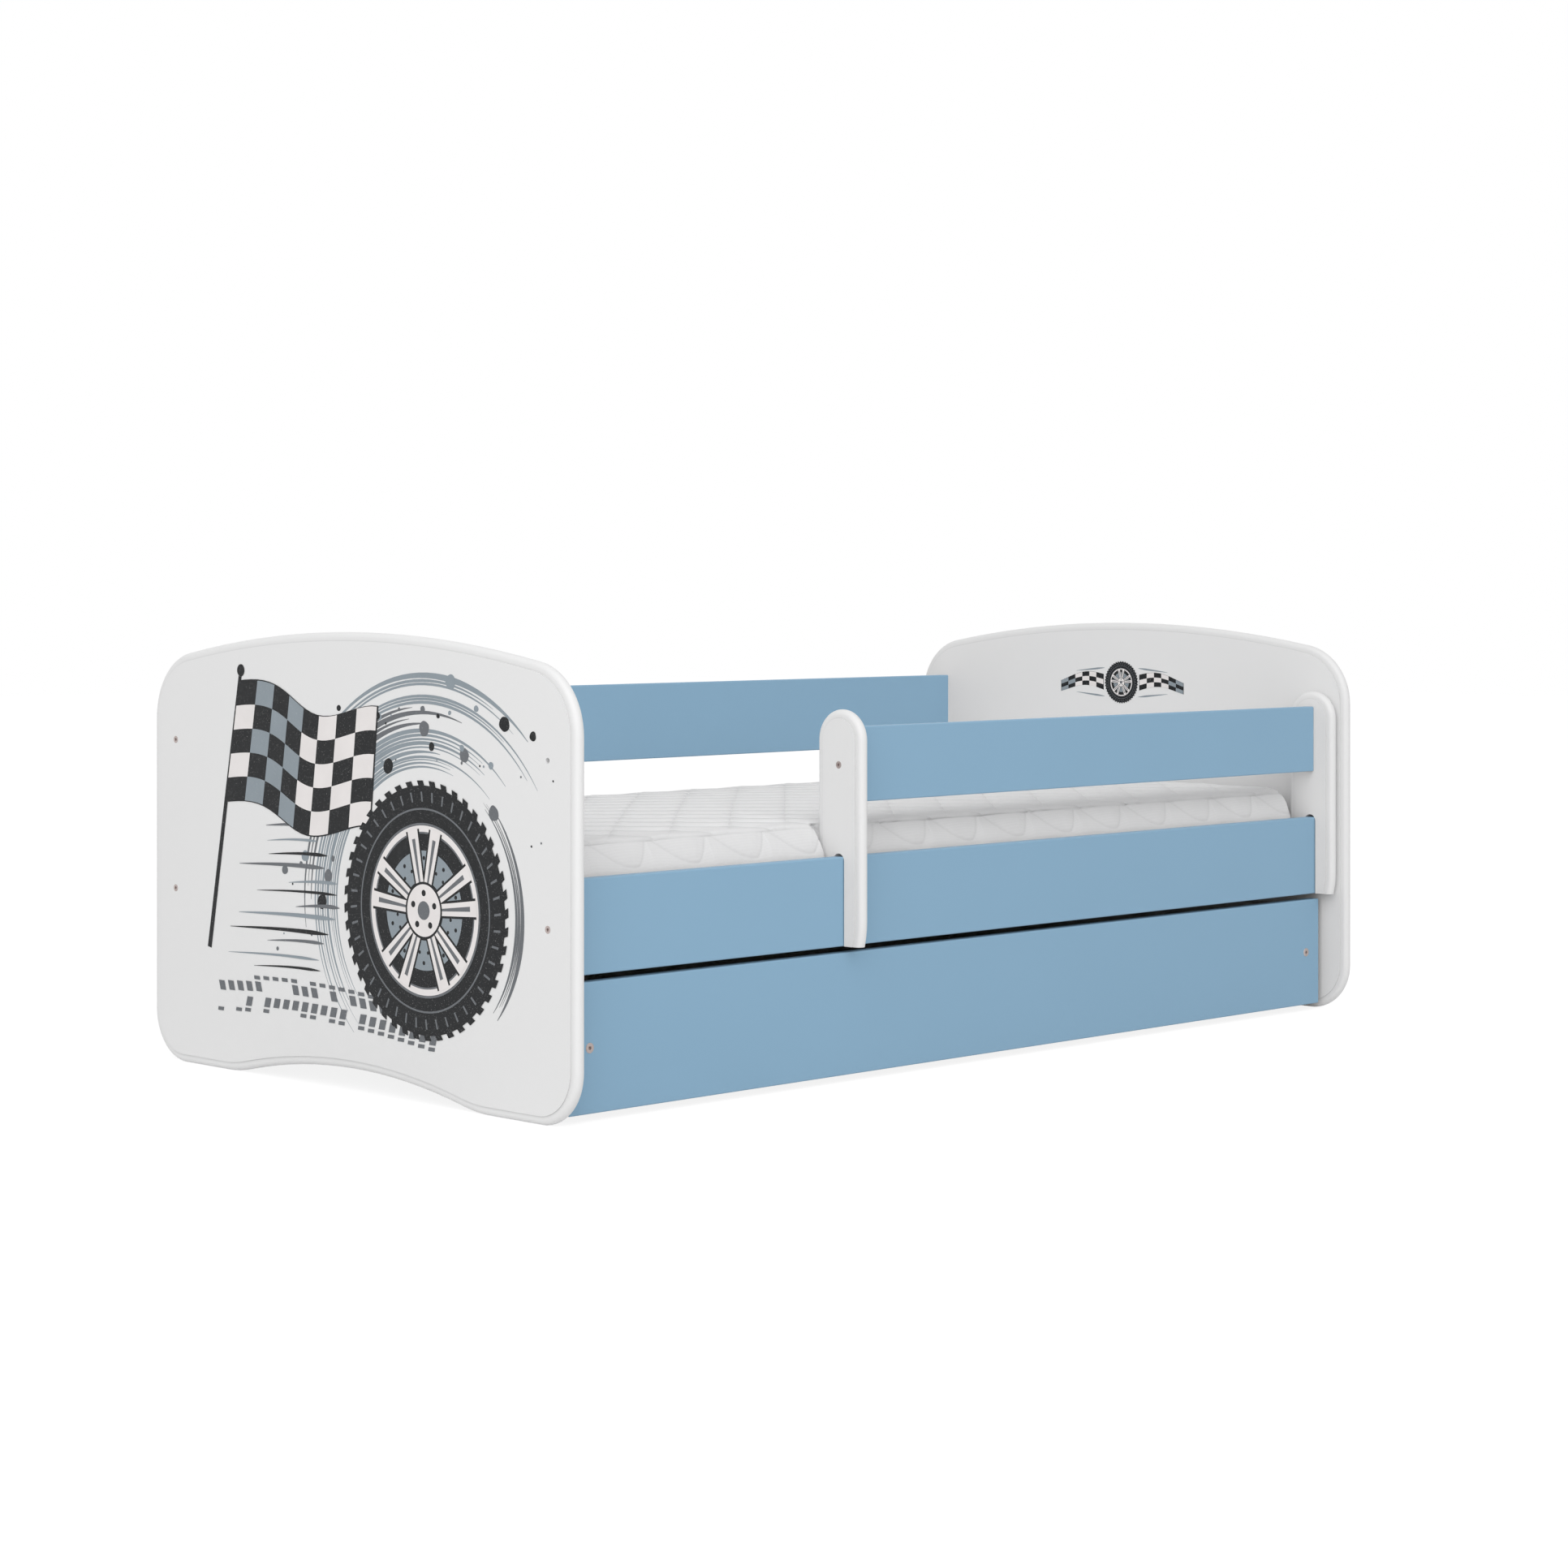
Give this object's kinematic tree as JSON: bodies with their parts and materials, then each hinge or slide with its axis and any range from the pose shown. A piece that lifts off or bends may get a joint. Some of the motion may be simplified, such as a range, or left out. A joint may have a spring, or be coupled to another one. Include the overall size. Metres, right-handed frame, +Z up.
{
  "type": "child's bed with drawer and guard",
  "caption": "Low child's bed: arched end boards, slatted base, mattress, lift-off guard on the front rail and a full-length drawer on castors.",
  "frame": {"origin": "on the floor under the middle of the bed", "axes": "+X from the footboard to the headboard, -Y towards the open side with the guard and the drawer front, +Z up"},
  "size_m": [1.64, 0.91, 0.611],
  "materials": {
    "white_board": "white laminated board, satin, routed edges",
    "blue_board": "grey-blue laminated board, satin",
    "drawer_board": "white laminated board, satin",
    "slat_wood": "bare planed pine",
    "mattress_cover": "quilted knitted cover over foam",
    "webbing": "woven tape",
    "screw_steel": "zinc-plated socket screws",
    "castor_steel": "zinc-plated sheet",
    "castor_plastic": "black moulded plastic"
  },
  "bodies": {
    "frame": {"footboard": "white_board", "headboard": "white_board", "front_rail": "blue_board", "back_rail": "blue_board", "back_guard_rail": "blue_board", "frame_screws": "screw_steel", "rail_dowels": "slat_wood", "front_batten": "slat_wood", "back_batten": "slat_wood", "batten_screws": "screw_steel", "slat_01": "slat_wood", "slat_02": "slat_wood", "slat_03": "slat_wood", "slat_04": "slat_wood", "slat_05": "slat_wood", "slat_06": "slat_wood", "slat_07": "slat_wood", "slat_08": "slat_wood", "slat_09": "slat_wood", "slat_10": "slat_wood", "slat_11": "slat_wood", "slat_12": "slat_wood", "slat_13": "slat_wood", "slat_screws": "screw_steel", "front_slat_tape": "webbing", "back_slat_tape": "webbing"},
    "guard": {"guard_post_left": "white_board", "guard_post_right": "white_board", "guard_board": "blue_board", "guard_screws": "screw_steel", "guard_dowels": "slat_wood"},
    "mattress": {"mattress": "mattress_cover"},
    "drawer": {"drawer_front": "blue_board", "drawer_side_left": "drawer_board", "drawer_side_right": "drawer_board", "drawer_back": "drawer_board", "drawer_bottom": "drawer_board", "drawer_front_screws": "screw_steel", "drawer_front_dowels": "slat_wood", "drawer_back_screws": "screw_steel", "castor_screws": "screw_steel", "castor_fork_front_left": "castor_steel", "castor_fork_front_right": "castor_steel", "castor_fork_back_left": "castor_steel", "castor_fork_back_right": "castor_steel", "castor_axle_front_left": "castor_steel", "castor_axle_front_right": "castor_steel", "castor_axle_back_left": "castor_steel", "castor_axle_back_right": "castor_steel"},
    "wheel_front_left": {"castor_wheel_front_left": "castor_plastic"},
    "wheel_front_right": {"castor_wheel_front_right": "castor_plastic"},
    "wheel_back_left": {"castor_wheel_back_left": "castor_plastic"},
    "wheel_back_right": {"castor_wheel_back_right": "castor_plastic"}
  },
  "joints": [
    {"name": "drawer_slide", "type": "slide", "parent": "frame", "child": "drawer", "axis": [0, -1, 0], "range_m": [0, 0.7]},
    {"name": "guard_lift", "type": "slide", "parent": "frame", "child": "guard", "axis": [0, 0, 1], "range_m": [0, 0.25]},
    {"name": "mattress_lift", "type": "slide", "parent": "frame", "child": "mattress", "axis": [0, 0, 1], "range_m": [0, 0.3]},
    {"name": "wheel_front_left_spin", "type": "hinge", "parent": "drawer", "child": "wheel_front_left", "pos_m": [-0.66, -0.322, 0.015], "axis": [1, 0, 0], "continuous": true},
    {"name": "wheel_front_right_spin", "type": "hinge", "parent": "drawer", "child": "wheel_front_right", "pos_m": [0.66, -0.322, 0.015], "axis": [1, 0, 0], "continuous": true},
    {"name": "wheel_back_left_spin", "type": "hinge", "parent": "drawer", "child": "wheel_back_left", "pos_m": [-0.66, 0.282, 0.015], "axis": [1, 0, 0], "continuous": true},
    {"name": "wheel_back_right_spin", "type": "hinge", "parent": "drawer", "child": "wheel_back_right", "pos_m": [0.66, 0.282, 0.015], "axis": [1, 0, 0], "continuous": true}
  ],
  "couplings": [
    {"joint": "wheel_front_left_spin", "follows": "drawer_slide", "rad_per_m": 66.667},
    {"joint": "wheel_front_right_spin", "follows": "drawer_slide", "rad_per_m": 66.667},
    {"joint": "wheel_back_left_spin", "follows": "drawer_slide", "rad_per_m": 66.667},
    {"joint": "wheel_back_right_spin", "follows": "drawer_slide", "rad_per_m": 66.667}
  ]
}
